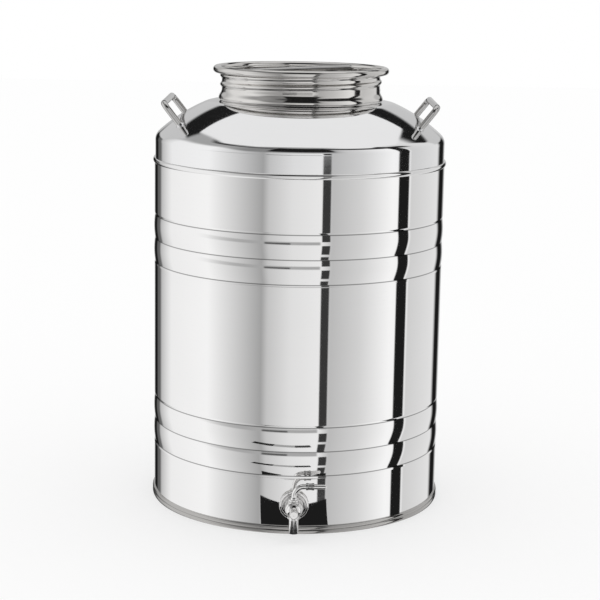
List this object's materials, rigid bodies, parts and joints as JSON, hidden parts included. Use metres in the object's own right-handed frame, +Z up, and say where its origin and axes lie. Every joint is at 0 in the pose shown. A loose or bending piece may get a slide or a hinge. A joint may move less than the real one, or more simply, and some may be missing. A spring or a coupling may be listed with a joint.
{
  "type": "stainless steel drum with screw lid and tap",
  "caption": "Cylindrical sheet steel drum for keeping and drawing off liquids, with a rolled-thread screw lid, two side handles and a plug tap low on the wall.",
  "frame": {"origin": "centre of the foot ring on the floor, on the drum's axis", "axes": "+Z up along the drum's axis, the tap points along -Y, the side handles stand at +X and -X"},
  "size_m": [0.3746, 0.4163, 0.5571],
  "materials": {
    "drum_steel": "mirror polished stainless steel",
    "neck_steel": "polished stainless steel with light draw marks",
    "lid_steel": "polished stainless steel with fine turned rings",
    "ring_steel": "polished stainless steel",
    "rod_steel": "polished drawn rod",
    "weld_steel": "ground and polished weld",
    "tap_chrome": "polished chrome on brass",
    "gasket_rubber": "pale silicone rubber"
  },
  "bodies": {
    "drum": {"body_shell": "drum_steel", "base_ring": "ring_steel", "base_pan": "drum_steel", "shoulder_dome": "drum_steel", "seam_ring": "ring_steel", "neck_collar": "neck_steel", "handle_right": "rod_steel", "handle_left": "rod_steel", "handle_pads_right": "weld_steel", "handle_pads_left": "weld_steel", "tap_outer_gasket": "gasket_rubber", "tap_body": "tap_chrome", "tap_spout": "tap_chrome", "tap_front_cap": "tap_chrome", "tap_inner_gasket": "gasket_rubber", "tap_inner_washer": "ring_steel", "tap_lock_nut": "tap_chrome"},
    "lid_seal": {"lid_gasket": "gasket_rubber"},
    "lid": {"lid_pan": "lid_steel", "lid_grip": "rod_steel"},
    "tap_plug_set": {"tap_plug": "tap_chrome", "tap_plug_rings": "gasket_rubber", "tap_plug_washer": "ring_steel", "tap_plug_nut": "ring_steel", "tap_hub": "tap_chrome", "tap_lever": "tap_chrome", "tap_lever_collar": "tap_chrome"}
  },
  "joints": [
    {"name": "lid_turn", "type": "hinge", "parent": "lid_seal", "child": "lid", "pos_m": [0, 0, 0.5491], "axis": [0, 0, 1], "range_deg": [0, 1080]},
    {"name": "lid_rise", "type": "slide", "parent": "drum", "child": "lid_seal", "axis": [0, 0, 1], "range_m": [0, 0.0337]},
    {"name": "tap_turn", "type": "hinge", "parent": "drum", "child": "tap_plug_set", "pos_m": [0, -0.204, 0.05], "axis": [0, 0, -1], "range_deg": [0, 90]}
  ],
  "couplings": [
    {"joint": "lid_rise", "follows": "lid_turn", "m_per_rad": 0.0017825}
  ]
}
